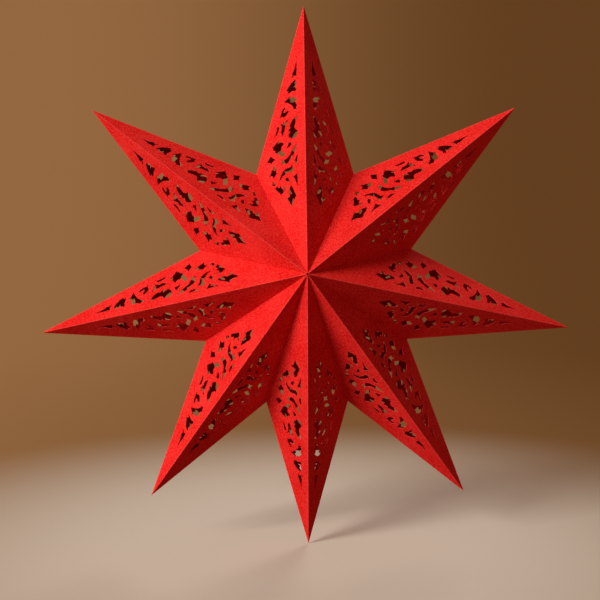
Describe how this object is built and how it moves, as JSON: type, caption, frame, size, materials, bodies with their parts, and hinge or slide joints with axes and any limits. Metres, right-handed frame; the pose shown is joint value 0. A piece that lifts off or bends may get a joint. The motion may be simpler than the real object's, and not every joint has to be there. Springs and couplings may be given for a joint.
{
  "type": "paper star",
  "caption": "Hollow folded star of red card with tapering points, sharp ridges and a pierced scroll ornament on every facet, for hanging as a decoration.",
  "frame": {"origin": "centre of the star, midway between its front and back apex", "axes": "+Z through the top tip, +Y from the front apex to the back apex, +X to the viewer's right"},
  "size_m": [0.5868, 0.1992, 0.6],
  "materials": {
    "red_card": "matte red card, fine fibre grain, paler at the folds and cut edges"
  },
  "bodies": {
    "root": {"top_point": "red_card", "upper_right_point": "red_card", "right_point": "red_card", "lower_right_point": "red_card", "bottom_point": "red_card", "lower_left_point": "red_card", "left_point": "red_card", "upper_left_point": "red_card"}
  },
  "joints": []
}
